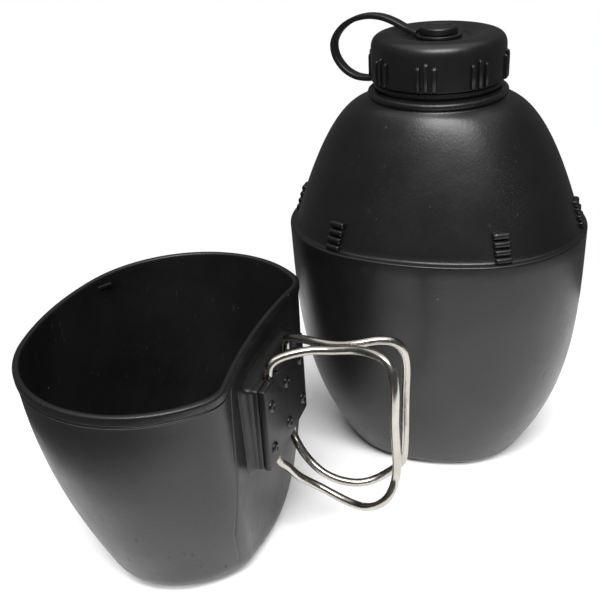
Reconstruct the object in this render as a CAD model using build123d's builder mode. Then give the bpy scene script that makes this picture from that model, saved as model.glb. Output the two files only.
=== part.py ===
from build123d import *
import os
from math import atan2, cos, degrees, hypot, radians, sin, sqrt

# Canteen set: a kidney-shaped bottle with a tethered screw cap, and the mug that
# goes over its top half. Millimetres, +Z up. The origin is on the bottle's base,
# below the middle of its widest section. The bottle's convex front faces -Y and
# its hollow back faces +Y.

# ---------------------------------------------------------------- driving sizes
half_width = 65.0           # bottle, at the ledge
front_depth = 52.2          # bottle axis to the middle of the convex front
back_depth = 37.4           # bottle axis to the middle of the hollow back
side_radius = 50.4          # the two rounded sides
front_radius = 110.5        # the nearly flat front
back_radius = 247.0         # the hollow back
back_corner_radius = 11.6
outline_points = 44         # spline points round one cross section

ledge_height = 117.3        # the mug's rim rests here
ledge_width = 2.8
shoulder_height = 170.6
shoulder_radius = 29.0
neck_offset = 2.8           # the neck stands a little behind the bottle's axis
bottle_wall = 2.2
# how the bottle and the mug narrow from rim to base. Each pair is the base's share of
# the rim's size and how fast the rest fades upwards; shift moves the base back, and
# roundness turns the kidney into an oval
bottle_taper = {
    "scale": 1.0, "foot": 4.0, "shift": (7.8, 1.0), "roundness": (0.0, 1.0),
    "width": (0.623, 3.4), "front": (0.659, 2.7), "back": (0.659, 2.7),
}
mug_taper = {
    "scale": 1.031, "foot": 9.0, "shift": (5.1, 1.9), "roundness": (0.87, 2.6),
    "width": (0.73, 1.75), "front": (0.644, 2.3), "back": (0.887, 3.4),
}
foot_angles = (0, 18, 36, 54, 72, 90)
body_parts = (0.08, 0.16, 0.28, 0.42, 0.6, 0.8, 1)
least_step = 0.02           # between the foot and the first section above it
dome_parts = (0, 0.2, 0.4, 0.58, 0.73, 0.85, 0.93, 0.98, 1)
floor_thickness = 2.6       # of the bottle and of the mug
ledge_wall = 2.4
cavity_overlap = 8.0        # the dome's inside starts this far below the ledge

lug_x = 34.7                # the two front lugs stand at +-lug_x on the ledge
lug_ribs = 4
lug_first = 1.3             # middle of the lowest rib above the ledge
lug_pitch = 3.1
lug_rib_width = 6.8
lug_rib_height = 2.9
lug_proud = 2.0
lug_sunk = 2.0
lug_taper = 12.0            # degrees, so that each rib narrows to its crest

neck_radius = 22.4
mouth_radius = 19.6
neck_top = 192.0
collar_radius = 24.5
collar_top = 178.2
bead_radius = 29.3
bead_top = 175.0

thread_pitch = 6.0
thread_depth = 1.8
thread_root = 2.6           # height of a thread ridge at its foot
thread_crest = 1.2
neck_thread_turns = 1.25
neck_thread_start = 182.2
cap_thread_turns = 1.0
cap_thread_start = 180.9

cap_radius = 27.6
cap_bottom = 178.5
cap_side_top = 191.9
crown_radius = 20.5         # the cap's top falls away inside this ring and outside it
crown_middle = (25.5, 195.5)
cap_top = 197.0
dish_height = 195.2
cap_bore_radius = 24.8
cap_underside = 193.8
grip_groups = 8
grip_proud = 1.2
grip_width = 1.7
grip_spacing = 6.7          # degrees between the ribs of one group
grip_bottom = 179.1
grip_tops = (188.6, 190.1, 188.6)

seal_radius = 24.2
seal_thickness = 1.6

recess_radius = 12.9
recess_floor = 194.8
button_radius = 7.9
button_stem_radius = 5.4
button_plug_radius = 3.0
button_head_bottom = 196.4
button_head_top = 199.2
button_round = 1.2

strap_width = 5.0
strap_thickness = 2.3
strap_heading = 170.0       # degrees from +X, the side on which the loop stands out
ring_inner_radius = 25.1
ring_outer_radius = 26.7
ring_bottom = 176.0
ring_top = 178.0
eye_inner_radius = 5.9
eye_outer_radius = 9.5
eye_bottom = 195.0
eye_top = 196.2
# distance from the neck's axis and height of the loop's corners, cap to neck ring
strap_route = [
    (8.6, 196.3), (14.0, 197.5), (27.0, 202.4), (39.0, 200.4), (46.4, 194.0),
    (48.2, 186.4), (43.4, 177.8), (34.5, 175.6), (26.2, 177.0),
]

strap_bends = [6.0, 12.0, 12.0, 8.0, 8.0, 8.0, 9.0]

mug_height = 99.8
mug_wall = 2.0
lip_height = 3.8
lip_proud = 0.6
mug_axis = (-93.8, -84.8)   # where the mug stands beside the bottle
mug_plane = Plane(origin=(*mug_axis, 0), x_dir=(0, -1, 0), z_dir=(0, 0, 1))

block_half_width = 23.2     # hinge block on the hollow back of the mug
block_bottom = 50.2
block_top = 87.2
block_root_y = 30.0         # where the block starts, inside the mug's wall
hinge_x = 10.6              # the two hinge axes stand at +-hinge_x
hinge_y = 46.6              # and this far out from the mug's axis
plate_thickness = 3.0
notch_half_width = 3.6
notch_depth = 3.0
notch_floor_y = 40.0
notch_reach = 20.0          # the notches cut right through the plate
rivet_radius = 1.7
rivet_head_radius = 2.6
rivet_head_height = 1.1
rivet_length = 5.0          # from the plate's outer face into the block
rivet_columns = (-17.8, 0.0, 17.8)
rivet_rows = (58.0, 77.6)

wire_diameter = 3.6
hinge_clearance = 0.1
pin_end_gap = 4.0           # between the two ends of a handle, inside its bore
# corners of one handle's wire from its upper pin to its lower pin: sideways from
# the mug's middle, out from the mug's axis, and height; and the bend at each
wire_corners = [
    (10.6, 46.6, 92.4), (2.6, 61.0, 95.6), (2.2, 79.0, 97.2), (8.8, 96.6, 99.9),
    (9.2, 96.4, 60.0), (8.0, 96.0, 33.6), (7.6, 79.0, 23.6), (4.2, 61.0, 30.0),
    (7.0, 50.2, 42.6), (10.6, 46.6, 45.2),
]
wire_bends = [3.0, 22.0, 24.0, 9.0, 60.0, 13.0, 14.0, 16.0, 3.5, 2.6]

os.makedirs("parts", exist_ok=True)


# ---------------------------------------------------- the shared kidney outline
side_centre_x = half_width - side_radius
front_centre_y = front_radius - front_depth
back_centre_y = back_radius + back_depth

# the front arc runs into the side arc where both point the same way
lean = atan2(side_centre_x, front_centre_y)
front_end = (front_radius * sin(lean), front_centre_y - front_radius * cos(lean))
front_middle = (
    front_radius * sin(lean / 2), front_centre_y - front_radius * cos(lean / 2)
)

# the side arc crosses the hollow back's arc
centres_apart = hypot(side_centre_x, back_centre_y)
along = (side_radius**2 - back_radius**2 + centres_apart**2) / (2 * centres_apart)
aside = sqrt(side_radius**2 - along**2)
corner = (
    side_centre_x + (aside * back_centre_y - along * side_centre_x) / centres_apart,
    (along * back_centre_y + aside * side_centre_x) / centres_apart,
)
back_middle = (corner[0] / 2, back_centre_y - sqrt(back_radius**2 - corner[0] ** 2 / 4))

with BuildSketch() as right_half:
    with BuildLine():
        ThreePointArc((0, -front_depth), front_middle, front_end)
        ThreePointArc(front_end, (half_width, 0), corner)
        ThreePointArc(corner, back_middle, (0, back_depth))
        Line((0, back_depth), (0, -front_depth))
    make_face()
    corner_vertex = right_half.vertices().sort_by_distance(corner)[0]
    fillet(corner_vertex, radius=back_corner_radius)

half_outline = Wire(right_half.edges().filter_by(lambda edge: (edge @ 0.5).X > 1))
half_count = outline_points // 2
half_points = [half_outline @ (i / half_count) for i in range(half_count + 1)]
if half_points[0].Y > half_points[-1].Y:
    half_points.reverse()
kidney = [(point.X, point.Y) for point in half_points]
kidney += [(-x, y) for x, y in reversed(kidney[1:-1])]
kidney_back = max(y for x, y in kidney)


def section(width, front, back, centre_y, roundness):
    """Points of one cross section, from the kidney (roundness 0) to an oval (1)."""
    points = []
    for x, y in kidney:
        depth = front if y < 0 else back
        across = x / half_width
        deep = y / (front_depth if y < 0 else kidney_back)
        stretch = 1 - roundness + roundness / hypot(across, deep)
        points.append((width * across * stretch, centre_y + depth * deep * stretch))
    return points


def tapered_level(part, height, taper, wall):
    """Section of the lower body or the mug; part runs from 0, base, to 1, rim."""
    width, front, back = (
        1 - (1 - share) * (1 - part) ** fade
        for share, fade in (taper["width"], taper["front"], taper["back"])
    )
    shift, shift_fade = taper["shift"]
    roundness, round_fade = taper["roundness"]
    return height * part, section(
        taper["scale"] * half_width * width - wall,
        taper["scale"] * front_depth * front - wall,
        taper["scale"] * kidney_back * back - wall,
        shift * (1 - part) ** shift_fade,
        roundness * (1 - part) ** round_fade,
    )


def tapered_body(height, taper, wall=0, floor=0, plane=Plane.XY):
    """The bottle's lower half or the mug, or its inside: rounded foot, then sides."""
    foot = []
    for angle in foot_angles:
        rise = floor + taper["foot"] * (1 - cos(radians(angle)))
        inset = wall + taper["foot"] * (1 - sin(radians(angle)))
        foot.append(tapered_level(rise / height, height, taper, inset))
    foot_part = (floor + taper["foot"]) / height
    sides = (foot_part, *(part for part in body_parts if part > foot_part + least_step))
    with BuildPart() as body:
        add(lofted(foot, plane))
        add(lofted([tapered_level(p, height, taper, wall) for p in sides], plane))
    return body.part


def dome_sizes(part):
    """Half width, front and back depth of the dome, from the ledge to the shoulder."""
    top = shoulder_radius
    width = top + (half_width - ledge_width - top) * (1 - part) ** 0.5
    front = top + (front_depth - ledge_width - top) * (1 - part) ** 0.75
    back = top + (kidney_back - ledge_width - top) * (1 - part) ** 0.75
    return width, front, back


def dome_level(part, wall):
    width, front, back = dome_sizes(part)
    inset = wall * (1 - 0.4 * part)
    height = ledge_height + (shoulder_height - ledge_height) * part - wall * part**2
    return height, section(
        width - inset, front - inset, back - inset, neck_offset * part, part**1.2
    )


def lofted(levels, plane=Plane.XY):
    """A smooth solid through cross sections given as (height, points)."""
    with BuildPart() as shape:
        for height, points in levels:
            with BuildSketch(plane.offset(height)):
                with BuildLine():
                    Spline(*points, periodic=True)
                make_face()
        loft()
    return shape.part


def helical_ridge(foot_radius, crest_radius, start, turns, start_angle):
    """A thread ridge that runs between two radii, right-handed, about the Z axis."""
    outward = 1 if crest_radius > foot_radius else -1
    sunk = foot_radius - 0.4 * outward
    with BuildPart() as ridge:
        with BuildLine():
            path = Helix(thread_pitch, thread_pitch * turns, foot_radius, center=(0, 0, start))
        with BuildSketch(Plane(origin=path @ 0, x_dir=(1, 0, 0), z_dir=path % 0)):
            with BuildLine():
                Polyline(
                    (sunk - foot_radius, -thread_root / 2),
                    (crest_radius - foot_radius, -thread_crest / 2),
                    (crest_radius - foot_radius, thread_crest / 2),
                    (sunk - foot_radius, thread_root / 2),
                    close=True,
                )
            make_face()
        sweep(is_frenet=True)
    return ridge.part.rotate(Axis.Z, start_angle).moved(Location((0, neck_offset, 0)))


neck_plane = Plane.XY.move(Location((0, neck_offset, 0)))
neck_profile_plane = Plane(origin=(0, neck_offset, 0), x_dir=(1, 0, 0), z_dir=(0, -1, 0))
neck_axis = Axis((0, neck_offset, 0), (0, 0, 1))

# ------------------------------------------------------------------ bottle shell
with BuildPart() as bottle_outside:
    add(tapered_body(ledge_height, bottle_taper))
    add(lofted([dome_level(p, 0) for p in dome_parts]))
    with BuildSketch(neck_profile_plane):
        with BuildLine():
            Polyline(
                (0, shoulder_height - bottle_wall),
                (shoulder_radius - 1, shoulder_height - bottle_wall),
                (shoulder_radius - 1, shoulder_height - 0.2),
            )
            ThreePointArc(
                (shoulder_radius - 1, shoulder_height - 0.2),
                (bead_radius, (shoulder_height + bead_top) / 2),
                (shoulder_radius - 2, bead_top),
            )
            Polyline(
                (shoulder_radius - 2, bead_top),
                (collar_radius, bead_top),
                (collar_radius, collar_top),
                (neck_radius, collar_top + 1),
                (neck_radius, neck_top - 0.8),
                (neck_radius - 0.8, neck_top),
                (0, neck_top),
                (0, shoulder_height - bottle_wall),
            )
        make_face()
    revolve(axis=neck_axis)

lower_cavity = tapered_body(
    ledge_height - ledge_wall, bottle_taper, bottle_wall, floor_thickness
)
dome_cavity = lofted(
    [(ledge_height - cavity_overlap, dome_level(0, bottle_wall)[1])]
    + [dome_level(p, bottle_wall) for p in dome_parts]
)
neck_thread = helical_ridge(
    neck_radius, neck_radius + thread_depth, neck_thread_start, neck_thread_turns, 0
)


def lug_ribs_at(x, y, heading):
    """Horizontal ribs up the dome from a point on its foot, facing a heading."""
    foot_width, foot_front, _ = dome_sizes(0)
    with BuildPart() as lug:
        for i in range(lug_ribs):
            rise = lug_first + lug_pitch * i
            width, front, _ = dome_sizes(rise / (shoulder_height - ledge_height))
            place = Plane(
                origin=(x * width / foot_width, y * front / foot_front, ledge_height + rise),
                x_dir=(-sin(radians(heading)), cos(radians(heading)), 0),
                z_dir=(cos(radians(heading)), sin(radians(heading)), 0),
            )
            with BuildSketch(place.offset(-lug_sunk)):
                Rectangle(lug_rib_width, lug_rib_height)
            extrude(amount=lug_sunk + lug_proud, taper=lug_taper)
    return lug.part


side_foot = half_width - ledge_width
front_foot_x = lug_x - side_centre_x
front_foot_y = -sqrt((side_radius - ledge_width) ** 2 - front_foot_x**2)
front_heading = degrees(atan2(front_foot_y, front_foot_x))
right_lugs = [lug_ribs_at(side_foot, 0, 0), lug_ribs_at(lug_x, front_foot_y, front_heading)]

with BuildPart() as bottle_shell:
    add(bottle_outside.part)
    add(neck_thread)
    for lug in right_lugs:
        add(lug)
        mirror(lug, about=Plane.YZ)
    add(lower_cavity, mode=Mode.SUBTRACT)
    add(dome_cavity, mode=Mode.SUBTRACT)
    with BuildSketch(neck_plane.offset(shoulder_height - 2 * bottle_wall)):
        Circle(mouth_radius)
    extrude(amount=neck_top, mode=Mode.SUBTRACT)
bottle_shell.part.label = "bottle_shell"

# ------------------------------------------------------------------ cap and seal
with BuildPart() as cap_blank:
    with BuildSketch(neck_profile_plane):
        with BuildLine():
            Polyline(
                (cap_bore_radius, cap_bottom),
                (cap_radius, cap_bottom),
                (cap_radius, cap_side_top),
            )
            ThreePointArc((cap_radius, cap_side_top), crown_middle, (crown_radius, cap_top))
            Polyline(
                (crown_radius, cap_top),
                (recess_radius, dish_height),
                (recess_radius, recess_floor),
                (button_plug_radius, recess_floor),
                (button_plug_radius, cap_underside),
                (cap_bore_radius, cap_underside),
                (cap_bore_radius, cap_bottom),
            )
        make_face()
    revolve(axis=neck_axis)

cap_thread = helical_ridge(
    cap_bore_radius,
    cap_bore_radius - thread_depth,
    cap_thread_start,
    cap_thread_turns,
    360 * (cap_thread_start + thread_pitch / 2 - neck_thread_start) / thread_pitch,
)

with BuildPart() as cap_shell:
    add(cap_blank.part)
    add(cap_thread)
    for group in range(grip_groups):
        for rib, top in enumerate(grip_tops):
            angle = -90 + 360 * group / grip_groups + grip_spacing * (rib - 1)
            rib_plane = neck_plane.rotated((0, 0, angle)).offset(grip_bottom)
            with BuildSketch(rib_plane):
                with Locations((cap_radius, 0)):
                    Rectangle(2 * grip_proud, grip_width)
            extrude(amount=top - grip_bottom)
cap_shell.part.label = "cap_shell"

with BuildPart() as cap_seal:
    with BuildSketch(neck_plane.offset(neck_top)):
        Circle(seal_radius)
    extrude(amount=seal_thickness)
cap_seal.part.label = "cap_seal"

with BuildPart() as strap_button:
    with BuildSketch(neck_plane.offset(cap_underside)):
        Circle(button_plug_radius)
    extrude(amount=recess_floor - cap_underside)
    with BuildSketch(neck_plane.offset(recess_floor)):
        Circle(button_stem_radius)
    extrude(amount=button_head_bottom - recess_floor)
    with BuildSketch(neck_plane.offset(button_head_bottom)):
        Circle(button_radius)
    extrude(amount=button_head_top - button_head_bottom)
    fillet(strap_button.edges().sort_by(Axis.Z)[-1], radius=button_round)
strap_button.part.label = "strap_button"

# --------------------------------------------------------------- retaining strap
strap_plane = Plane(
    origin=(0, neck_offset, 0),
    x_dir=(cos(radians(strap_heading)), sin(radians(strap_heading)), 0),
    z_dir=(sin(radians(strap_heading)), -cos(radians(strap_heading)), 0),
)

with BuildPart() as retaining_strap:
    with BuildSketch(strap_plane) as strap_side:
        with BuildLine() as loop:
            FilletPolyline(*strap_route, radius=strap_bends)
        trace(line_width=strap_thickness)
    extrude(amount=strap_width / 2, both=True)
    with BuildSketch(neck_plane.offset(ring_bottom)):
        Circle(ring_outer_radius)
    extrude(amount=ring_top - ring_bottom)
    with BuildSketch(neck_plane.offset(eye_bottom)):
        Circle(eye_outer_radius)
    extrude(amount=eye_top - eye_bottom)
    with BuildSketch(neck_plane.offset(ring_bottom)):
        Circle(ring_inner_radius)
    extrude(amount=ring_top - ring_bottom, mode=Mode.SUBTRACT)
    with BuildSketch(neck_plane.offset(eye_bottom - 1)):
        Circle(eye_inner_radius)
    extrude(amount=eye_top - eye_bottom + 2, mode=Mode.SUBTRACT)
retaining_strap.part.label = "retaining_strap"

# --------------------------------------------------------------------------- mug
mug_outside = tapered_body(mug_height, mug_taper, plane=mug_plane)
mug_cavity = tapered_body(mug_height, mug_taper, mug_wall, floor_thickness, mug_plane)
lip_points = tapered_level(1, mug_height, mug_taper, -lip_proud)[1]
notch_floor = block_top - notch_depth
from_middle = (Align.CENTER, Align.MIN)
bore_radius = wire_diameter / 2 + hinge_clearance

with BuildPart() as hinge_cuts:
    for side in (-1, 1):
        with BuildSketch(mug_plane.offset(notch_floor)):
            with Locations((side * hinge_x, notch_floor_y)):
                Rectangle(2 * notch_half_width, notch_reach, align=from_middle)
        extrude(amount=notch_depth + 1)
        with BuildSketch(mug_plane.offset(block_bottom - 1)):
            with Locations((side * hinge_x, hinge_y)):
                Circle(bore_radius)
        extrude(amount=block_top - block_bottom)

rivet_plane = Plane(
    origin=mug_plane.from_local_coords((0, hinge_y + plate_thickness, 0)),
    x_dir=mug_plane.x_dir,
    z_dir=mug_plane.y_dir,
)
# the rivet plane's own second axis points down, so heights are negative there
rivet_places = [(x, -z) for x in rivet_columns for z in rivet_rows]

with BuildPart() as plate_rivets:
    with BuildSketch(rivet_plane.offset(-rivet_length)):
        with Locations(*rivet_places):
            Circle(rivet_radius)
    extrude(amount=rivet_length)
    with BuildSketch(rivet_plane):
        with Locations(*rivet_places):
            Circle(rivet_head_radius)
    extrude(amount=rivet_head_height)
    head_rims = plate_rivets.edges().filter_by(GeomType.CIRCLE).sort_by(Axis.X)[-len(rivet_places):]
    fillet(head_rims, radius=0.8)
plate_rivets.part.label = "plate_rivets"

with BuildPart() as mug_cup:
    add(mug_outside)
    with BuildSketch(mug_plane.offset(mug_height - lip_height)):
        with BuildLine():
            Spline(*lip_points, periodic=True)
        make_face()
    extrude(amount=lip_height)
    fillet(mug_cup.edges().group_by(Axis.Z)[-1], radius=1.0)
    with BuildSketch(mug_plane.offset(block_bottom)):
        with Locations((0, block_root_y)):
            Rectangle(2 * block_half_width, hinge_y - block_root_y, align=from_middle)
    extrude(amount=block_top - block_bottom)
    add(mug_cavity, mode=Mode.SUBTRACT)
    add(hinge_cuts.part, mode=Mode.SUBTRACT)
    with BuildSketch(rivet_plane.offset(-rivet_length)):
        with Locations(*rivet_places):
            Circle(rivet_radius)
    extrude(amount=rivet_length, mode=Mode.SUBTRACT)
mug_cup.part.label = "mug_cup"

with BuildPart() as hinge_plate:
    with BuildSketch(mug_plane.offset(block_bottom)):
        with Locations((0, hinge_y)):
            Rectangle(2 * block_half_width, plate_thickness, align=from_middle)
    extrude(amount=block_top - block_bottom)
    add(hinge_cuts.part, mode=Mode.SUBTRACT)
    with BuildSketch(rivet_plane.offset(-plate_thickness)):
        with Locations(*rivet_places):
            Circle(rivet_radius)
    extrude(amount=plate_thickness, mode=Mode.SUBTRACT)
hinge_plate.part.label = "hinge_plate"

# ------------------------------------------------------------------ wire handles
middle = (block_bottom + notch_floor) / 2
upper_end = (hinge_x, hinge_y, middle + pin_end_gap / 2)
lower_end = (hinge_x, hinge_y, middle - pin_end_gap / 2)

with BuildPart() as right_wire:
    with BuildLine() as wire_path:
        FilletPolyline(upper_end, *wire_corners, lower_end, radius=wire_bends)
    with BuildSketch(Plane(origin=upper_end, z_dir=(0, 0, 1))):
        Circle(wire_diameter / 2)
    sweep()

front_wire = right_wire.part.moved(mug_plane.location)
with BuildPart() as left_wire:
    mirror(right_wire.part, about=Plane.YZ)
rear_wire = left_wire.part.moved(mug_plane.location)
front_wire.label = "front_handle"
rear_wire.label = "rear_handle"

pieces = [
    bottle_shell.part, retaining_strap.part, cap_shell.part, cap_seal.part,
    strap_button.part, mug_cup.part, hinge_plate.part, plate_rivets.part,
    front_wire, rear_wire,
]
for piece in pieces:
    export_step(piece, f"parts/{piece.label}.step")
    print(piece.label, piece.is_valid, len(piece.solids()), round(piece.volume))
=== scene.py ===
import math
import bmesh
import bpy
import numpy as np
from mathutils import Matrix, Vector


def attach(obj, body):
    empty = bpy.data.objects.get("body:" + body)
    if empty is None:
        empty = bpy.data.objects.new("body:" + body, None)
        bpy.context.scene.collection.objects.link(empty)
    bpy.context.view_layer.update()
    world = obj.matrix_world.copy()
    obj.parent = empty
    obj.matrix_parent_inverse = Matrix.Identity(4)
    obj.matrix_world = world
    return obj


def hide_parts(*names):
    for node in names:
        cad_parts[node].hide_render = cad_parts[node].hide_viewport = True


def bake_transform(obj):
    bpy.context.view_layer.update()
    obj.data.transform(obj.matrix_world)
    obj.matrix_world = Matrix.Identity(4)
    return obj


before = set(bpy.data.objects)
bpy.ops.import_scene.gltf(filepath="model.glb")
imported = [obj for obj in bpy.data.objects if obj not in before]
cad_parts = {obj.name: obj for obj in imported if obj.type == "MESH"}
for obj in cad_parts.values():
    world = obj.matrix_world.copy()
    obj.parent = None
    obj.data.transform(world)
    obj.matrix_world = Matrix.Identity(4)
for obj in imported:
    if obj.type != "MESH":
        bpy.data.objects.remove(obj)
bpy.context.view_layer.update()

MM = 0.001  # the sizes below are in millimetres, as in the CAD part

# ------------------------------------------------------------------ sizes
HALF_WIDTH, FRONT_DEPTH, BACK_DEPTH = 65.0, 52.2, 37.4
SIDE_R, FRONT_R, BACK_R, CORNER_R = 50.4, 110.5, 247.0, 11.6
LEDGE_Z, LEDGE_WIDTH, SHOULDER_Z, SHOULDER_R = 117.3, 2.8, 170.6, 29.0
NECK_Y = 2.8
MUG_Z, MUG_WALL, BOTTLE_WALL, FLOOR = 99.8, 2.0, 2.2, 2.6
# pairs: the base's share of the rim's size, and how fast the rest fades upwards
BOTTLE_TAPER = {
    "scale": 1.0, "foot": 4.0, "shift": (7.8, 1.0), "roundness": (0.0, 1.0),
    "width": (0.623, 3.4), "front": (0.659, 2.7), "back": (0.659, 2.7),
}
MUG_TAPER = {
    "scale": 1.031, "foot": 9.0, "shift": (5.1, 1.9), "roundness": (0.87, 2.6),
    "width": (0.73, 1.75), "front": (0.644, 2.3), "back": (0.887, 3.4),
}
MUG_AXIS = (-93.8, -84.8)
COLUMNS = 220  # columns of faces round a kidney section

# neck and cap: radii, then heights
MOUTH_R, NECK_R, COLLAR_R, NECK_CREST_R = 19.6, 22.4, 24.5, 24.15
COLLAR_Z, MOUTH_Z = 175.0, 192.0
THREAD_PITCH, NECK_THREAD_Z, CAP_THREAD_Z = 6.0, 182.2, 180.9
CAP_BORE_R, CAP_R, CROWN_R, RECESS_R, CAP_CREST_R = 24.8, 27.6, 20.5, 12.9, 23.05
CAP_LOW_Z, CAP_SIDE_Z, CROWN_Z, DISH_Z = 178.5, 193.6, 197.2, 195.2
CAP_UNDER_Z, RECESS_Z = 193.8, 194.8
GRIP_GROUPS, GRIP_PITCH, GRIP_TOPS = 8, 6.7, (188.8, 190.3, 188.8)
BUTTON_R, STEM_R, PIN_R, BUTTON_LOW_Z, BUTTON_TOP_Z = 7.9, 5.4, 3.0, 196.4, 199.2

# ribbed lugs above the ledge
LUG_X, LUG_FIRST, LUG_PITCH, LUG_RIBS, LUG_SUNK = 34.7, 1.3, 3.1, 4, 2.0

# strap: the band, its eye under the button and its ring round the neck
BAND_WIDTH, BAND_DEPTH, BAND_FLARE, STRAP_HEADING = 5.0, 2.2, 3.0, 170
EYE_REACH, EYE_IN_R, EYE_OUT_R, EYE_Z = 8.6, 5.95, 9.5, (195.0, 196.2)
RING_IN_R, RING_OUT_R, RING_Z = 25.1, 26.7, (176.0, 178.0)

# mug's rim, seam and hinge; the hinge's depths are measured out from the mug's axis
RIM_LENGTH = 386  # the way round the mug's rim
LIP_PROUD, LIP_LOW_Z, SEAM_DEPTH = 0.6, 95.2, 0.35
BLOCK_HALF, BLOCK_LOW, BLOCK_HIGH = 23.2, 50.2, 87.2
BLOCK_BACK, BLOCK_FACE, PLATE_BACK, PLATE_FACE = 40.0, 46.6, 46.65, 49.6
HANDLE_X, NOTCH_HALF, BLOCK_NOTCH, PLATE_NOTCH = 10.6, 3.6, 3.0, 1.2
RIVET_XS, RIVET_ZS, RIVET_R, RIVET_OUT = (-17.8, 0.0, 17.8), (58.0, 77.6), 2.6, 50.7
WIRE_R = 1.72


# ------------------------------------------------------------------ outline
def arc(centre, radius, start, end, count):
    angles = np.linspace(start, end, count)
    return np.stack(
        [centre[0] + radius * np.cos(angles), centre[1] + radius * np.sin(angles)], 1
    )


def half_kidney():
    """Closely spaced points from the middle of the front to the middle of the back."""
    side = np.array([HALF_WIDTH - SIDE_R, 0.0])
    front = np.array([0.0, FRONT_R - FRONT_DEPTH])
    back = np.array([0.0, BACK_R + BACK_DEPTH])
    lean = math.atan2(side[0], front[1])
    near, far = SIDE_R - CORNER_R, BACK_R + CORNER_R
    apart = np.linalg.norm(back - side)
    along = (near**2 - far**2 + apart**2) / (2 * apart)
    aside = math.sqrt(near**2 - along**2)
    unit = (back - side) / apart
    corner = side + along * unit + aside * np.array([unit[1], -unit[0]])
    to_side = math.atan2(*(corner - side)[::-1])
    to_back = math.atan2(*(back - corner)[::-1])
    return np.vstack([
        arc(front, FRONT_R, -math.pi / 2, lean - math.pi / 2, 60)[:-1],
        arc(side, SIDE_R, lean - math.pi / 2, to_side, 120)[:-1],
        arc(corner, CORNER_R, to_side, to_back, 60)[:-1],
        arc(back, BACK_R, to_back + math.pi, 1.5 * math.pi, 60),
    ])


def outline(shares):
    """Points of the kidney outline at shares (0 to 1) of the way round it, and normals."""
    half = half_kidney()
    loop = np.vstack([half, half[-2:0:-1] * [-1, 1], half[:1]])
    steps = np.linalg.norm(np.diff(loop, axis=0), axis=1)
    way = np.concatenate([[0], np.cumsum(steps)])
    at = np.asarray(shares) * way[-1]
    points = np.stack([np.interp(at, way, loop[:, 0]), np.interp(at, way, loop[:, 1])], 1)
    ahead = np.roll(points, -1, 0) - np.roll(points, 1, 0)
    ahead /= np.linalg.norm(ahead, axis=1)[:, None]
    return points, np.stack([ahead[:, 1], -ahead[:, 0]], 1)


KIDNEY_BACK = half_kidney()[:, 1].max()


def section(kidney, width, front, back, centre_y, roundness=0.0):
    """One cross section, from the kidney (roundness 0) to an oval (1)."""
    x, y = kidney[:, 0], kidney[:, 1]
    depth = np.where(y < 0, front, back)
    across = x / HALF_WIDTH
    deep = y / np.where(y < 0, FRONT_DEPTH, KIDNEY_BACK)
    stretch = 1 - roundness + roundness / np.hypot(across, deep)
    return np.stack([width * across * stretch, centre_y + depth * deep * stretch], 1)


def tapered(kidney, z, height, taper, inset):
    """Section of the bottle's lower half or of the mug at height z."""
    left = 1 - min(max(z / height, 0), 1)
    width, front, back = (
        1 - (1 - share) * left ** fade
        for share, fade in (taper["width"], taper["front"], taper["back"])
    )
    shift, shift_fade = taper["shift"]
    roundness, round_fade = taper["roundness"]
    return section(
        kidney,
        taper["scale"] * HALF_WIDTH * width - inset,
        taper["scale"] * FRONT_DEPTH * front - inset,
        taper["scale"] * KIDNEY_BACK * back - inset,
        shift * left ** shift_fade,
        roundness * left ** round_fade,
    )


def dome(kidney, part, wall=0.0, z_drop=0.0):
    """Section of the dome between the ledge (part 0) and the shoulder (1)."""
    width = SHOULDER_R + (HALF_WIDTH - LEDGE_WIDTH - SHOULDER_R) * (1 - part) ** 0.5
    front = SHOULDER_R + (FRONT_DEPTH - LEDGE_WIDTH - SHOULDER_R) * (1 - part) ** 0.75
    back = SHOULDER_R + (KIDNEY_BACK - LEDGE_WIDTH - SHOULDER_R) * (1 - part) ** 0.75
    z = LEDGE_Z + (SHOULDER_Z - LEDGE_Z) * part - z_drop
    return at_height(
        section(kidney, width - wall, front - wall, back - wall, NECK_Y * part, part**1.2), z
    )


def at_height(flat, z):
    return np.column_stack([flat, np.full(len(flat), z)])


def circle_ring(kidney, radius, z):
    return at_height(section(kidney, radius, radius, radius, NECK_Y, 1.0), z)


# ------------------------------------------------------------------ mesh tools
def mesh_object(name, verts, faces, material, smooth=True):
    mesh = bpy.data.meshes.new(name)
    mesh.from_pydata([tuple(v * MM) for v in np.asarray(verts, float)], [], faces)
    mesh.validate()
    work = bmesh.new()
    work.from_mesh(mesh)
    bmesh.ops.recalc_face_normals(work, faces=work.faces)
    work.to_mesh(mesh)
    work.free()
    if smooth:
        mesh.shade_smooth()
    else:
        mesh.shade_flat()
    mesh.materials.append(material)
    obj = bpy.data.objects.new(name, mesh)
    bpy.context.scene.collection.objects.link(obj)
    return obj


def ring_faces(rows, count, loop=False):
    """Faces between neighbouring rows of count points, closed round each row."""
    faces = []
    for row in range(rows if loop else rows - 1):
        low, high = row * count, (row + 1) % rows * count
        for i in range(count):
            j = (i + 1) % count
            faces.append((low + i, low + j, high + j, high + i))
    return faces


def skinned(rings):
    """Vertices and faces of a closed skin over rings, with a fan at each end."""
    count = len(rings[0])
    verts = np.vstack(rings + [rings[0].mean(0)[None], rings[-1].mean(0)[None]])
    faces = ring_faces(len(rings), count)
    start, end = len(verts) - 2, len(verts) - 1
    last = (len(rings) - 1) * count
    for i in range(count):
        j = (i + 1) % count
        faces.append((start, j, i))
        faces.append((end, last + i, last + j))
    return verts, faces


def joined(parts):
    """Several (vertices, faces) as one."""
    verts, faces, first = [], [], 0
    for part_verts, part_faces in parts:
        verts.append(part_verts)
        faces += [tuple(first + i for i in face) for face in part_faces]
        first += len(part_verts)
    return np.vstack(verts), faces


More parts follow.
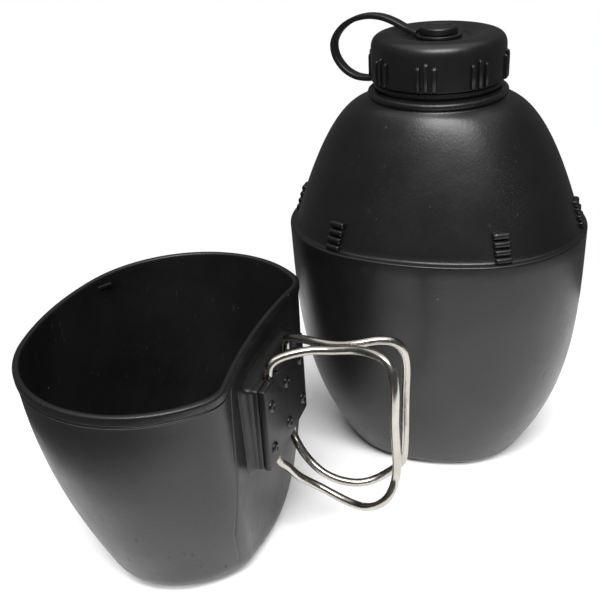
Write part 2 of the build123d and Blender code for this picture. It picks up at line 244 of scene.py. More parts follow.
def soften(points, cut, steps=4, closed=False):
    """A run of points with each corner rounded off over the length cut."""
    points = [np.asarray(p, float) for p in points]
    count = len(points)
    cuts = cut if isinstance(cut, (list, tuple)) else [cut] * count
    out = []
    for i, here in enumerate(points):
        if not closed and i in (0, count - 1):
            out.append(here)
            continue
        before, after = points[i - 1], points[(i + 1) % count]
        a = min(cuts[i], 0.49 * np.linalg.norm(before - here))
        b = min(cuts[i], 0.49 * np.linalg.norm(after - here))
        if a < 1e-6:
            out.append(here)
            continue
        start = here + (before - here) / np.linalg.norm(before - here) * a
        end = here + (after - here) / np.linalg.norm(after - here) * b
        for t in np.linspace(0, 1, steps + 1):
            out.append((1 - t) ** 2 * start + 2 * t * (1 - t) * here + t * t * end)
    return out


def turned_rings(profile, count):
    """Rings about the neck's axis, one for each (radius, height) of the profile."""
    angles = np.linspace(0, 2 * math.pi, count, endpoint=False)
    return [
        np.column_stack([
            radius * np.cos(angles), NECK_Y + radius * np.sin(angles), np.full(count, z)])
        for radius, z in profile
    ]


def revolved(profile, count):
    """A turned body from a closed profile of (radius, height)."""
    rings = turned_rings(profile, count)
    return np.vstack(rings), ring_faces(len(rings), count, loop=True)


def rounded_rectangle(width, height, radius, steps=4):
    corners = [(width / 2, -height / 2), (width / 2, height / 2),
               (-width / 2, height / 2), (-width / 2, -height / 2)]
    return np.array(soften(corners, radius, steps, closed=True))


def pillow(width, height, depth, edge, radius, matrix):
    """A block with rounded edges, lying on its local XY plane and rising along +Z."""
    rings = []
    for inset, z in [(0, 0), (0, depth - edge)] + [
        (edge * (1 - math.cos(a)), depth - edge + edge * math.sin(a))
        for a in np.radians([22, 45, 67, 90])
    ]:
        flat = rounded_rectangle(width - 2 * inset, height - 2 * inset, radius)
        rings.append(at_height(flat, z))
    verts, faces = skinned(rings)
    return np.array([matrix @ Vector(v) for v in verts]), faces


def tube(path, radius, sides=24):
    """A round wire along a path of points, with rounded ends."""
    path = np.asarray(path, float)
    ahead = np.gradient(path, axis=0)
    ahead /= np.linalg.norm(ahead, axis=1)[:, None]
    across = np.cross(ahead[0], [0, 1, 0.3])
    rings = []
    angles = np.linspace(0, 2 * math.pi, sides, endpoint=False)
    for i, (point, direction) in enumerate(zip(path, ahead)):
        across = across - direction * (across @ direction)
        across /= np.linalg.norm(across)
        other = np.cross(direction, across)
        ends = min(i, len(path) - 1 - i)
        size = radius * (0.72, 0.93, 1.0)[min(ends, 2)]
        rings.append(point + size * (
            np.cos(angles)[:, None] * across + np.sin(angles)[:, None] * other))
    return skinned(rings)


def smooth_path(points, per_span=10):
    """A Catmull-Rom curve through the points."""
    points = np.asarray(points, float)
    padded = np.vstack([2 * points[0] - points[1], points, 2 * points[-1] - points[-2]])
    out = []
    for i in range(1, len(padded) - 2):
        a, b, c, d = padded[i - 1:i + 3]
        knots = [0.0]
        for p, q in ((a, b), (b, c), (c, d)):
            knots.append(knots[-1] + max(np.linalg.norm(q - p), 1e-6) ** 0.5)
        for t in np.linspace(knots[1], knots[2], per_span, endpoint=False):
            ab = (a * (knots[1] - t) + b * (t - knots[0])) / (knots[1] - knots[0])
            bc = (b * (knots[2] - t) + c * (t - knots[1])) / (knots[2] - knots[1])
            cd = (c * (knots[3] - t) + d * (t - knots[2])) / (knots[3] - knots[2])
            abc = (ab * (knots[2] - t) + bc * (t - knots[0])) / (knots[2] - knots[0])
            bcd = (bc * (knots[3] - t) + cd * (t - knots[1])) / (knots[3] - knots[1])
            out.append((abc * (knots[2] - t) + bcd * (t - knots[1])) / (knots[2] - knots[1]))
    out.append(points[-1])
    return np.array(out)


def in_mug(local):
    """Row-frame points from the mug's own: sideways, out of its hollow back, up."""
    local = np.asarray(local, float)
    return np.column_stack([
        MUG_AXIS[0] + local[:, 1], MUG_AXIS[1] - local[:, 0], local[:, 2]])


# ------------------------------------------------------------------ materials
def new_material(name):
    material = bpy.data.materials.new(name)
    material.use_nodes = True
    tree = material.node_tree
    return material, tree, tree.nodes["Principled BSDF"]


def noise(tree, coordinates, scale, detail=3.0, stretch=None, roughness=0.5):
    node = tree.nodes.new("ShaderNodeTexNoise")
    node.inputs["Scale"].default_value = scale
    node.inputs["Detail"].default_value = detail
    node.inputs["Roughness"].default_value = roughness
    source = coordinates
    if stretch:
        mapping = tree.nodes.new("ShaderNodeMapping")
        mapping.inputs["Scale"].default_value = stretch
        tree.links.new(coordinates, mapping.inputs["Vector"])
        source = mapping.outputs["Vector"]
    tree.links.new(source, node.inputs["Vector"])
    return node.outputs["Fac"]


def ramp(tree, value, stops):
    node = tree.nodes.new("ShaderNodeValToRGB")
    ends = node.color_ramp.elements
    while len(ends) < len(stops):
        ends.new(0.5)
    for end, (position, shade) in zip(ends, stops):
        end.position = position
        end.color = (*shade, 1) if isinstance(shade, tuple) else (shade, shade, shade, 1)
    tree.links.new(value, node.inputs["Fac"])
    return node.outputs["Color"]


def mixed(tree, factor, a, b, blend="MIX"):
    node = tree.nodes.new("ShaderNodeMix")
    node.data_type = "RGBA"
    node.blend_type = blend
    for socket, value in (("Factor", factor), ("A", a), ("B", b)):
        target = next(i for i in node.inputs if i.name == socket and (
            i.type == ("VALUE" if socket == "Factor" else "RGBA")))
        if hasattr(value, "links"):
            tree.links.new(value, target)
        else:
            target.default_value = value
    return next(o for o in node.outputs if o.type == "RGBA")


def bumped(tree, shader, layers):
    """Chains (height, strength, distance in metres) into the shader's normal."""
    normal = None
    for height, strength, distance in layers:
        node = tree.nodes.new("ShaderNodeBump")
        node.inputs["Strength"].default_value = strength
        node.inputs["Distance"].default_value = distance
        tree.links.new(height, node.inputs["Height"])
        if normal is not None:
            tree.links.new(normal, node.inputs["Normal"])
        normal = node.outputs["Normal"]
    tree.links.new(normal, shader.inputs["Normal"])


def plastic(name, dark, light, rough, specks=True, scuffs=0.3):
    """Black moulded plastic: fine grain, soft colour drift, dust specks and scuffs."""
    material, tree, shader = new_material(name)
    place = tree.nodes.new("ShaderNodeTexCoord").outputs["Object"]
    drift = noise(tree, place, 28.0, 4.0)
    colour = ramp(tree, drift, [(0.35, dark), (0.7, light)])
    fine = noise(tree, place, 900.0, 2.0)
    ripple = noise(tree, place, 160.0, 3.0)
    streaks = noise(tree, place, 520.0, 4.0, stretch=(1.0, 1.0, 0.25))
    scratch = ramp(tree, streaks, [(0.66, 0.0), (0.8, 1.0)])
    worn = ramp(tree, noise(tree, place, 12.0, 5.0), [(0.45, 0.0), (0.7, 1.0)])
    scuffed = mixed(tree, 1.0, scratch, worn, "MULTIPLY")
    colour = mixed(tree, scuffed, colour, (0.022, 0.022, 0.023, 1))
    if specks:
        dots = tree.nodes.new("ShaderNodeTexVoronoi")
        dots.inputs["Scale"].default_value = 190.0
        tree.links.new(place, dots.inputs["Vector"])
        size = ramp(tree, dots.outputs["Distance"], [(0.03, 1.0), (0.06, 0.0)])
        chosen = tree.nodes.new("ShaderNodeSeparateColor")
        tree.links.new(dots.outputs["Color"], chosen.inputs["Color"])
        few = ramp(tree, chosen.outputs["Red"], [(0.9, 0.0), (0.93, 1.0)])
        dust = mixed(tree, 1.0, size, few, "MULTIPLY")
        colour = mixed(tree, dust, colour, (0.16, 0.16, 0.155, 1))
    tree.links.new(colour, shader.inputs["Base Color"])
    low, high = rough
    roughness = ramp(tree, noise(tree, place, 45.0, 6.0, roughness=0.65),
                     [(0.3, low), (0.7, high)])
    roughness = mixed(tree, scuffs, roughness, scratch, "ADD")
    tree.links.new(roughness, shader.inputs["Roughness"])
    shader.inputs["Specular IOR Level"].default_value = 0.42
    bumped(tree, shader, [(ripple, 0.12, 0.0006), (fine, 0.18, 0.0002)])
    return material


def steel(name):
    """Bright drawn wire: fine lengthwise scratches, slight dullness and tarnish."""
    material, tree, shader = new_material(name)
    place = tree.nodes.new("ShaderNodeTexCoord").outputs["Object"]
    tint = ramp(tree, noise(tree, place, 90.0, 4.0),
                [(0.3, (0.33, 0.305, 0.27)), (0.7, (0.41, 0.39, 0.36))])
    spots = ramp(tree, noise(tree, place, 700.0, 3.0), [(0.68, 0.0), (0.76, 1.0)])
    tree.links.new(mixed(tree, spots, tint, (0.22, 0.2, 0.17, 1)), shader.inputs["Base Color"])
    shader.inputs["Metallic"].default_value = 1.0
    rough = ramp(tree, noise(tree, place, 260.0, 5.0), [(0.3, 0.16), (0.7, 0.3)])
    tree.links.new(rough, shader.inputs["Roughness"])
    bumped(tree, shader, [
        (noise(tree, place, 1500.0, 2.0, stretch=(1.0, 1.0, 0.1)), 0.08, 0.0001),
        (noise(tree, place, 90.0, 2.0), 0.05, 0.0002),
    ])
    return material


def rubber(name):
    """Grey, dull sealing rubber."""
    material, tree, shader = new_material(name)
    place = tree.nodes.new("ShaderNodeTexCoord").outputs["Object"]
    tree.links.new(
        ramp(tree, noise(tree, place, 60.0, 4.0), [(0.3, 0.30), (0.7, 0.36)]),
        shader.inputs["Base Color"])
    tree.links.new(
        ramp(tree, noise(tree, place, 140.0, 4.0), [(0.3, 0.5), (0.7, 0.7)]),
        shader.inputs["Roughness"])
    bumped(tree, shader, [(noise(tree, place, 1200.0, 2.0), 0.15, 0.0001)])
    return material


bottle_plastic = plastic("bottle_plastic", 0.0035, 0.006, (0.29, 0.4))
cap_plastic = plastic("cap_plastic", 0.003, 0.005, (0.3, 0.42), scuffs=0.1)
strap_plastic = plastic("strap_plastic", 0.003, 0.005, (0.34, 0.46), specks=False, scuffs=0.08)
mug_plastic = plastic("mug_plastic", 0.0035, 0.006, (0.34, 0.46))
plate_black = plastic("plate_black", 0.0035, 0.006, (0.3, 0.42), scuffs=0.2)
rivet_black = plastic("rivet_black", 0.004, 0.008, (0.2, 0.32), specks=False, scuffs=0.2)
wire_steel = steel("wire_steel")
seal_rubber = rubber("seal_rubber")


# ------------------------------------------------------------------ bottle
columns = outline(np.arange(COLUMNS) / COLUMNS)[0]


def foot_rings(kidney, height, taper, wall, floor):
    """Rings of a rounded foot, from its flat underside up to its side."""
    rings = []
    for angle in np.radians([0, 12, 24, 36, 48, 60, 72, 84]):
        z = floor + taper["foot"] * (1 - math.cos(angle))
        inset = wall + taper["foot"] * (1 - math.sin(angle))
        rings.append(at_height(tapered(kidney, z, height, taper, inset), z))
    return rings


def side_rings(kidney, height, taper, wall, low, high, rows=44):
    """Rings of the tapering side between two heights."""
    return [
        at_height(tapered(kidney, z, height, taper, wall), z)
        for z in np.linspace(low, high, rows)
    ]


bottle_foot = BOTTLE_TAPER["foot"] + 0.4
ledge = soften([(0.0, LEDGE_Z - 6), (0.0, LEDGE_Z), (2.9, LEDGE_Z + 0.1), (3.0, LEDGE_Z + 3)],
               0.9, 5)
rings = foot_rings(columns, LEDGE_Z, BOTTLE_TAPER, 0.0, 0.0)
rings += side_rings(columns, LEDGE_Z, BOTTLE_TAPER, 0.0, bottle_foot, LEDGE_Z - 6.2)
rings += [at_height(tapered(columns, LEDGE_Z, LEDGE_Z, BOTTLE_TAPER, inset), z)
          for inset, z in ledge[1:-3]]
rings += [dome(columns, part) for part in 1 - (1 - np.linspace(0.016, 1, 42)) ** 1.15]
neck_profile = soften(
    [(28.7, 170.9), (28.2, 171.4), (29.3, 172.9), (28.9, 174.6), (26.4, COLLAR_Z),
     (COLLAR_R, COLLAR_Z), (COLLAR_R, 178.2), (NECK_R, 179.0), (NECK_R, MOUTH_Z),
     (MOUTH_R, MOUTH_Z), (MOUTH_R, 168.6), (26.0, 167.2)],
    [0, 0.4, 1.3, 1.3, 0.4, 0.2, 0.4, 0.4, 0.7, 0.5, 1.2, 0], 4)
rings += [circle_ring(columns, radius, z) for radius, z in neck_profile]
rings += [dome(columns, part, BOTTLE_WALL, 2.4) for part in np.linspace(0.93, 0, 24)]
rings += side_rings(
    columns, LEDGE_Z, BOTTLE_TAPER, BOTTLE_WALL, LEDGE_Z - 5, FLOOR + bottle_foot, 24)
rings += foot_rings(columns, LEDGE_Z, BOTTLE_TAPER, BOTTLE_WALL, FLOOR)[::-1]
bottle_body = mesh_object("bottle_body", *skinned(rings), bottle_plastic)


def ridge(foot, crest, start, turns, angle0, count=72):
    """A thread ridge between two radii, about the neck, its ends run out to nothing."""
    rows = []
    steps = int(count * turns)
    for i in range(steps + 1):
        angle = angle0 + 2 * math.pi * i / count
        grow = min(1.0, i / 6, (steps - i) / 6)
        top = foot + (crest - foot) * grow
        z = start + THREAD_PITCH * i / count
        row = [(foot - 0.3 * np.sign(crest - foot), z - 1.3), (top, z - 0.6 * grow - 0.05),
               (top, z + 0.6 * grow + 0.05), (foot - 0.3 * np.sign(crest - foot), z + 1.3)]
        rows.append(np.array([
            (r * math.cos(angle), NECK_Y + r * math.sin(angle), height) for r, height in row]))
    return skinned(rows)


neck_thread = mesh_object(
    "neck_thread", *ridge(NECK_R, NECK_CREST_R, NECK_THREAD_Z, 1.25, 0.0), bottle_plastic,
    smooth=False)

lugs = []
side_foot, front_foot = HALF_WIDTH - LEDGE_WIDTH, FRONT_DEPTH - LEDGE_WIDTH
front_y = -math.sqrt((SIDE_R - LEDGE_WIDTH) ** 2 - (LUG_X - HALF_WIDTH + SIDE_R) ** 2)
front_angle = math.atan2(front_y, LUG_X - HALF_WIDTH + SIDE_R)
for x, y, angle in ((side_foot, 0, 0), (LUG_X, front_y, front_angle),
                    (-LUG_X, front_y, math.pi - front_angle), (-side_foot, 0, math.pi)):
    for i in range(LUG_RIBS):
        rise = LUG_FIRST + LUG_PITCH * i
        part = rise / (SHOULDER_Z - LEDGE_Z)
        narrow = (SHOULDER_R + (side_foot - SHOULDER_R) * (1 - part) ** 0.5) / side_foot
        shallow = (SHOULDER_R + (front_foot - SHOULDER_R) * (1 - part) ** 0.75) / front_foot
        out = Vector((math.cos(angle), math.sin(angle), 0))
        along = Vector((-math.sin(angle), math.cos(angle), 0))
        basis = Matrix((along, Vector((0, 0, 1)), out)).transposed().to_4x4()
        foot = Vector((x * narrow, y * shallow, LEDGE_Z + rise)) - out * LUG_SUNK
        lugs.append(pillow(6.8, 2.5, 3.9, 1.1, 0.5, Matrix.Translation(foot) @ basis))
bottle_lugs = mesh_object("bottle_lugs", *joined(lugs), bottle_plastic)

# ------------------------------------------------------------------ cap
cap_profile = soften(
    [(CAP_BORE_R, CAP_LOW_Z), (CAP_R, CAP_LOW_Z), (CAP_R, CAP_SIDE_Z), (25.6, 196.3),
     (CROWN_R, CROWN_Z), (RECESS_R, DISH_Z), (12.7, RECESS_Z), (3.1, RECESS_Z),
     (3.1, CAP_UNDER_Z), (CAP_BORE_R, CAP_UNDER_Z)],
    [0.3, 0.5, 2.4, 2.2, 2.2, 0.5, 0.3, 0.2, 0.2, 0.5], 6, closed=True)
parts = [revolved(cap_profile, 128)]


def grip_rib(angle, top):
    """One upright grip rib on the cap's side, its top end cut back at a slant."""
    out = np.array([math.cos(angle), math.sin(angle), 0])
    along = np.array([-math.sin(angle), math.cos(angle), 0])
    centre = np.array([0, NECK_Y, 0])
    rings = []
    for z, proud, half in ((178.9, 0.55, 0.6), (179.4, 1.15, 0.8), (top - 1.5, 1.15, 0.8),
                           (top - 0.75, 1.0, 0.75), (top - 0.1, 0.2, 0.6), (top, -0.3, 0.5)):
        low, high = CAP_R - 0.7, CAP_R + proud
        flat = soften([(low, -half), (high, -half), (high, half), (low, half)],
                      0.3, 3, closed=True)
        rings.append(np.array([centre + out * r + along * s + [0, 0, z] for r, s in flat]))
    return skinned(rings)


for group in range(GRIP_GROUPS):
    for rib, top in enumerate(GRIP_TOPS):
        angle = -90 + 360 / GRIP_GROUPS * group + GRIP_PITCH * (rib - 1)
        parts.append(grip_rib(math.radians(angle), top))
cap_body = mesh_object("cap_body", *joined(parts), cap_plastic)
# the cap's thread runs midway between the turns of the neck's
start_turn = (CAP_THREAD_Z + THREAD_PITCH / 2 - NECK_THREAD_Z) / THREAD_PITCH
cap_thread = mesh_object(
    "cap_thread", *ridge(CAP_BORE_R, CAP_CREST_R, CAP_THREAD_Z, 1.0, 2 * math.pi * start_turn),
    cap_plastic, smooth=False)
button_profile = soften(
    [(0.6, CAP_UNDER_Z), (PIN_R, CAP_UNDER_Z), (PIN_R, RECESS_Z), (STEM_R, RECESS_Z),
     (STEM_R, BUTTON_LOW_Z), (BUTTON_R, BUTTON_LOW_Z), (BUTTON_R, BUTTON_TOP_Z),
     (5.2, BUTTON_TOP_Z), (4.8, 198.9), (0.6, 198.9)],
    [0, 0.2, 0.2, 0.2, 0.2, 0.4, 1.2, 0.3, 0.3, 0], 5)
button = mesh_object("button", *skinned(turned_rings(button_profile, 64)), cap_plastic)

# ------------------------------------------------------------------ strap
heading = math.radians(STRAP_HEADING)
strap_run = smooth_path([
    (EYE_REACH, EYE_Z[1]), (11.0, 196.8), (14.5, 197.9), (19.0, 200.0), (24.5, 201.7), (31.0, 202.0),
    (38.0, 200.2), (43.8, 196.2), (47.0, 190.8), (46.4, 185.0), (42.4, 179.6), (37.0, 176.7),
    (31.0, 176.2), (26.0, 176.95)], 8)
band = []
ahead = np.gradient(strap_run, axis=0)
ahead /= np.linalg.norm(ahead, axis=1)[:, None]
for (reach, z), (run, rise) in zip(strap_run, ahead):
    row = []
    width = BAND_WIDTH + BAND_FLARE * math.exp(-((reach - EYE_REACH) / 3.5) ** 2)
    for sideways, through in rounded_rectangle(width, BAND_DEPTH, 0.7, 3):
        r, height = reach - rise * through, z + run * through
        row.append((r * math.cos(heading) - sideways * math.sin(heading),
                    NECK_Y + r * math.sin(heading) + sideways * math.cos(heading), height))
    band.append(np.array(row))


def washer(inner, outer, heights, cut, steps, count):
    """A flat ring about the neck's axis, its edges softened."""
    low, high = heights
    corners = [(inner, low), (outer, low), (outer, high), (inner, high)]
    return revolved(soften(corners, cut, steps, closed=True), count)


eye = washer(EYE_IN_R, EYE_OUT_R, EYE_Z, 0.4, 3, 64)
neck_ring = washer(RING_IN_R, RING_OUT_R, RING_Z, 0.6, 4, 96)
strap = mesh_object("strap", *joined([skinned(band), eye, neck_ring]), strap_plastic)

# ------------------------------------------------------------------ mug
SEAM = 0.39  # share of the way round at which the mould seam runs
seam_low, seam_high = (29.0, 0.369), (94.0, 0.4125)  # its height and share at each end
mug_shares = np.sort(np.concatenate([
    np.arange(COLUMNS) / COLUMNS + 0.0003,
    SEAM + np.array([-1.6, -0.7, -0.3, 0.0, 0.3, 0.7, 1.6]) / RIM_LENGTH,
]))


def mug_kidney(z):
    """Outline points and normals whose seam columns follow the seam's slant at height z."""
    seam = np.interp(z, *zip(seam_low, seam_high))
    return outline(np.interp(mug_shares, [0, SEAM, 1 - SEAM, 1], [0, seam, 1 - seam, 1]))


def mug_ring(z, inset, seam_depth=0.0):
    """A ring of the mug at height z, with the seam's fine groove in it."""
    kidney, normals = mug_kidney(z)
    flat = tapered(kidney, z, MUG_Z, MUG_TAPER, inset)
    away = abs(mug_shares - SEAM) * RIM_LENGTH
    return at_height(flat - normals * (seam_depth * np.exp(-(away / 0.35) ** 2))[:, None], z)


def mug_foot(wall, floor):
    foot = MUG_TAPER["foot"]
    return [
        mug_ring(floor + foot * (1 - math.cos(a)), wall + foot * (1 - math.sin(a)))
        for a in np.radians([0, 10, 20, 30, 40, 50, 60, 70, 80])
    ]


mug_side = MUG_TAPER["foot"] + 0.4
rings = mug_foot(0.0, 0.0)
rings += [
    mug_ring(z, 0.0, SEAM_DEPTH * min(1, (z - mug_side) / 6))
    for z in np.linspace(mug_side, 88, 48)
]
lip = soften(
    [(0.0, 89), (0.0, LIP_LOW_Z - 0.7), (-0.35, LIP_LOW_Z - 0.3), (-0.35, LIP_LOW_Z),
     (0.2, LIP_LOW_Z + 0.6), (-0.55, LIP_LOW_Z + 1.0), (-LIP_PROUD, MUG_Z),
     (MUG_WALL, MUG_Z), (MUG_WALL, 95.0)],
    [0, 0.2, 0.15, 0.15, 0.15, 0.25, 1.3, 1.1, 0], 5)
rings += [mug_ring(z, inset, SEAM_DEPTH if z < LIP_LOW_Z + 0.3 and inset < 1 else 0.0)
          for inset, z in lip[:-1]]
rings += [mug_ring(z, MUG_WALL) for z in np.linspace(95.0, FLOOR + mug_side, 40)]
rings += mug_foot(MUG_WALL, FLOOR)[::-1]
verts, faces = skinned(rings)
mug_body = mesh_object("mug_body", in_mug(verts), faces, mug_plastic)

# the small raised bar inside the far wall, just below the rim
mark_way = Vector((0.83, -0.56, 0))
mark_in = Vector((0.56, 0.83, 0))
mark_turn = Matrix((mark_way, Vector((0, 0, 1)), mark_in)).transposed().to_4x4()
mark_place = Matrix.Translation(Vector((-31.4, -47.9, 95.0))) @ mark_turn
verts, faces = pillow(8.5, 1.9, 1.6, 0.4, 0.4, mark_place)
rim_mark = mesh_object("rim_mark", in_mug(verts), faces, mug_plastic)


def prism(outline_points, low, high):
    """Vertices and faces of a flat outline (x, z) pushed along the mug's own y."""
    count = len(outline_points)
    verts = [(x, low, z) for x, z in outline_points] + [(x, high, z) for x, z in outline_points]
    faces = [tuple(range(count)), tuple(range(count, 2 * count))[::-1]]
    faces += [(i, (i + 1) % count, count + (i + 1) % count, count + i) for i in range(count)]
    return np.array(verts, float), faces


def bevelled(obj, width, segments=3, angle=30):
    """Rounds the object's sharp edges, in its mesh."""
    work = bmesh.new()
    work.from_mesh(obj.data)
    sharp = [e for e in work.edges if len(e.link_faces) == 2
             and e.calc_face_angle(0) > math.radians(angle)]
    bmesh.ops.bevel(work, geom=sharp, offset=width * MM, segments=segments, profile=0.5,
                    affect="EDGES", clamp_overlap=True)
    work.to_mesh(obj.data)
    work.free()
    obj.data.shade_smooth()
    return obj


def notched(depth):
    """The hinge's outline (x, z), with a notch in its top edge for each handle."""
    near, far = HANDLE_X - NOTCH_HALF, HANDLE_X + NOTCH_HALF
    low, high = BLOCK_HIGH - depth, BLOCK_HIGH
    return [(-BLOCK_HALF, BLOCK_LOW), (BLOCK_HALF, BLOCK_LOW), (BLOCK_HALF, high), (far, high),
            (far, low), (near, low), (near, high), (-near, high), (-near, low), (-far, low),
            (-far, high), (-BLOCK_HALF, high)]


def evenly(loop, count):
    """The same closed loop with its points spaced evenly along it."""
    closed = np.vstack([loop, loop[:1]])
    along = np.concatenate([[0], np.cumsum(np.linalg.norm(np.diff(closed, axis=0), axis=1))])
    at = np.linspace(0, along[-1], count, endpoint=False)
    return np.column_stack([np.interp(at, along, closed[:, axis]) for axis in (0, 1)])


def back_wall(x, z):
    """How far out the mug's hollow back stands at x and height z."""
    flat = tapered(mug_kidney(z)[0], z, MUG_Z, MUG_TAPER, 0.0)
    back = flat[(flat[:, 1] > 20) & (abs(flat[:, 0]) < 40)]
    back = back[np.argsort(back[:, 0])]
    return np.interp(x, back[:, 0], back[:, 1])


verts, faces = prism(notched(BLOCK_NOTCH), BLOCK_BACK, BLOCK_FACE)
hinge_block = bevelled(mesh_object("hinge_block", in_mug(verts), faces, mug_plastic), 0.9)

# the soft root that spreads from the block onto the wall: (how far it spreads, how far out)
middle_z, half_height = (BLOCK_LOW + BLOCK_HIGH) / 2, (BLOCK_HIGH - BLOCK_LOW) / 2
root_rings = []
for flare, proud in ((4.2, -1.0), (3.2, 0.0), (2.1, 0.4), (1.2, 1.0), (0.5, 1.8), (0.1, 2.8)):
    width, height = 2 * (BLOCK_HALF + flare), 2 * (half_height + flare)
    flat = evenly(rounded_rectangle(width, height, 0.9 + flare), 160)
    z = flat[:, 1] + middle_z
    root_rings.append(np.column_stack(
        [flat[:, 0], [back_wall(*point) + proud for point in zip(flat[:, 0], z)], z]))
root_rings.append(root_rings[-1].copy())
root_rings[-1][:, 1] = 44.5  # the last ring ends inside the block
verts, faces = skinned(root_rings)
block_root = mesh_object("block_root", in_mug(verts), faces, mug_plastic)

verts, faces = prism(notched(PLATE_NOTCH), PLATE_BACK, PLATE_FACE)
cover_plate = bevelled(mesh_object("cover_plate", in_mug(verts), faces, plate_black), 0.5)

rivet_profile = soften(
    [(0.2, PLATE_FACE - 0.2), (RIVET_R, PLATE_FACE - 0.2), (RIVET_R, PLATE_FACE + 0.3),
     (1.9, RIVET_OUT), (1.1, RIVET_OUT), (0.8, RIVET_OUT - 0.4), (0.2, RIVET_OUT - 0.4)],
    [0, 0, 0.3, 0.4, 0.2, 0.2, 0], 3)
rivets = []
around = np.linspace(0, 2 * math.pi, 24, endpoint=False)
for x in RIVET_XS:
    for z in RIVET_ZS:
        rings = []
        for radius, out in rivet_profile:
            rings.append(np.column_stack([
                x + radius * np.cos(around), np.full(24, out), z + radius * np.sin(around)]))
        verts, faces = skinned(rings)
        rivets.append((in_mug(verts), faces))
rivet_heads = mesh_object("rivet_heads", *joined(rivets), rivet_black)

# ------------------------------------------------------------------ handles
wire_points = np.array([
    (HANDLE_X, BLOCK_FACE, 71.0), (HANDLE_X, BLOCK_FACE, 84.0), (HANDLE_X, 46.7, 88.5),
    (9.9, 47.4, 91.3),
    (8.1, 49.6, 93.0), (5.8, 55.3, 94.8), (3.0, 62.5, 95.7), (2.0, 70.4, 95.9),
    (2.1, 78.6, 97.4), (5.2, 87.1, 98.6), (7.7, 93.7, 96.5), (10.3, 96.3, 87.5),
    (10.2, 95.8, 72.4), (8.0, 96.1, 55.9), (7.1, 95.7, 43.5), (10.8, 93.5, 36.1),
    (10.8, 87.5, 29.9), (7.7, 80.0, 26.1), (4.9, 70.7, 26.8), (4.2, 61.3, 30.5),
    (6.3, 54.2, 35.5), (7.2, 50.6, 40.4), (9.4, 47.6, 44.4), (HANDLE_X, BLOCK_FACE, 49.0),
    (HANDLE_X, BLOCK_FACE, 66.0)])


def eased(path, reach=9):
    """The path with its small waves evened out, its pin ends left straight."""
    weights = np.exp(-0.5 * (np.arange(-reach, reach + 1) / 3.6) ** 2)
    padded = np.pad(path, ((reach, reach), (0, 0)), mode="edge")
    smooth = np.stack([np.convolve(padded[:, i], weights / weights.sum(), "valid")
                       for i in range(3)], 1)
    ends = np.minimum(np.arange(len(path)), np.arange(len(path))[::-1])
    share = np.clip((ends - 18) / 16, 0, 1)[:, None]
    return path * (1 - share) + smooth * share


handles = {}
for name, side in (("front_wire_handle", 1), ("rear_wire_handle", -1)):
    path = in_mug(eased(smooth_path(wire_points * [side, 1, 1], 10)))
    handles[name] = mesh_object(name, *tube(path, WIRE_R), wire_steel)

# ------------------------------------------------------------------ riding
for piece in (bottle_body, neck_thread, bottle_lugs):
    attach(piece, "bottle")
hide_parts("bottle_shell")
for piece in (cap_body, cap_thread, button):
    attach(piece, "cap")
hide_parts("cap_shell")
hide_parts("strap_button")
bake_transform(strap)
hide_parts("retaining_strap")
for piece, slot_name in ((mug_body, "mug"), (rim_mark, "mug"), (hinge_block, "mug"),
                         (block_root, "mug"), (cover_plate, "plate"),
                         (rivet_heads, "rivet")):
    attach(piece, "mug")
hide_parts("mug_cup")
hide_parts("hinge_plate")
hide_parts("plate_rivets")
for name, body, node in (("front_wire_handle", "front_wire", "front_handle"),
                         ("rear_wire_handle", "rear_wire", "rear_handle")):
    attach(handles[name], body)
    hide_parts(node)
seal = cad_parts["cap_seal"]
seal.data.materials.clear()
seal.data.materials.append(seal_rubber)

# ------------------------------------------------------------------ studio
floor_material, tree, shader = new_material("studio_floor")
place = tree.nodes.new("ShaderNodeTexCoord").outputs["Object"]
tree.links.new(ramp(tree, noise(tree, place, 3.0), [(0.3, 0.93), (0.7, 0.95)]),
               shader.inputs["Base Color"])
shader.inputs["Roughness"].default_value = 0.9
floor_reach, floor_middle = (0.25, 0.2), (0.02, -0.035)
around = np.linspace(0, 2 * math.pi, 96, endpoint=False)
rim = [(floor_reach[0] * math.cos(a) + floor_middle[0],
        floor_reach[1] * math.sin(a) + floor_middle[1], 0) for a in around]
floor_mesh = bpy.data.meshes.new("studio_floor")
floor_mesh.from_pydata(rim, [], [tuple(range(96))])
floor = bpy.data.objects.new("studio_floor", floor_mesh)
floor.location.z = -0.0002  # just below the undersides of the bottle and the mug
floor_mesh.materials.append(floor_material)
bpy.context.scene.collection.objects.link(floor)


def softbox(name, place, aim, size, power, mirrored=True):
    """A soft rectangular light; one that isn't mirrored leaves no highlight."""
    light = bpy.data.lights.new(name, "AREA")
    light.shape = "RECTANGLE"
    light.size, light.size_y = size
    light.energy = power
    obj = bpy.data.objects.new(name, light)
    obj.location = place
    obj.rotation_euler = (Vector(aim) - Vector(place)).to_track_quat("-Z", "Y").to_euler()
    obj.visible_glossy = mirrored
    bpy.context.scene.collection.objects.link(obj)


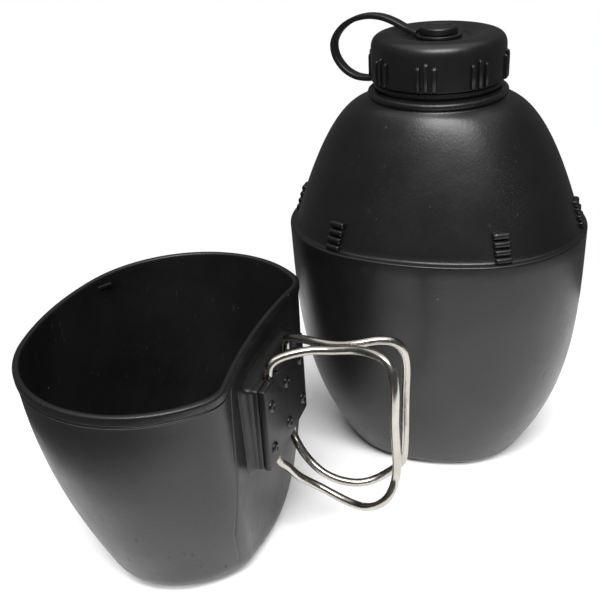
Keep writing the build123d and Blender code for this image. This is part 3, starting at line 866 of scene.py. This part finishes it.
softbox("overhead", (0.12, -0.48, 0.88), (0.02, -0.02, 0.14), (0.6, 0.34), 11)
softbox("right_floor", (0.55, -0.3, 0.4), (0.13, -0.1, 0), (0.16, 0.16), 2.2, mirrored=False)
softbox("front_floor", (-0.3, -0.6, 0.4), (-0.12, -0.17, 0), (0.16, 0.16), 2.4, mirrored=False)
sun = bpy.data.lights.new("sky_panel", "SUN")
sun.energy = 1.5
sun.angle = math.radians(80)
sky_panel = bpy.data.objects.new("sky_panel", sun)
bpy.context.scene.collection.objects.link(sky_panel)
# the backdrop is white to the camera and dim as a light
world = bpy.data.worlds.new("studio")
world.use_nodes = True
tree = world.node_tree
dim, white = tree.nodes["Background"], tree.nodes.new("ShaderNodeBackground")
dim.inputs["Color"].default_value = white.inputs["Color"].default_value = (1, 1, 1, 1)
dim.inputs["Strength"].default_value = 0.12
white.inputs["Strength"].default_value = 1.0
seen = tree.nodes.new("ShaderNodeLightPath").outputs["Is Camera Ray"]
either = tree.nodes.new("ShaderNodeMixShader")
tree.links.new(seen, either.inputs["Fac"])
tree.links.new(dim.outputs["Background"], either.inputs[1])
tree.links.new(white.outputs["Background"], either.inputs[2])
tree.links.new(either.outputs["Shader"], tree.nodes["World Output"].inputs["Surface"])
bpy.context.scene.world = world
bpy.context.scene.view_settings.view_transform = "Standard"

# ------------------------------------------------------------------ camera
YAW, PITCH, ROLL = -0.33988, 0.48442, -0.06599
CAMERA_PLACE, LENS = (0.061195, -0.359787, 0.268855), 52.45
fwd = Vector((math.sin(YAW) * math.cos(PITCH), math.cos(YAW) * math.cos(PITCH), -math.sin(PITCH)))
right = Vector((math.cos(YAW), -math.sin(YAW), 0))
up = right.cross(fwd)
turned_right = math.cos(ROLL) * right + math.sin(ROLL) * up
turned_up = -math.sin(ROLL) * right + math.cos(ROLL) * up
camera = bpy.data.objects.new("camera", bpy.data.cameras.new("camera"))
rotation = Matrix((turned_right, turned_up, -fwd)).transposed().to_4x4()
camera.matrix_world = Matrix.Translation(CAMERA_PLACE) @ rotation
camera.data.lens = LENS
camera.data.clip_start = 0.02
bpy.context.scene.collection.objects.link(camera)
bpy.context.scene.camera = camera

bpy.context.view_layer.update()
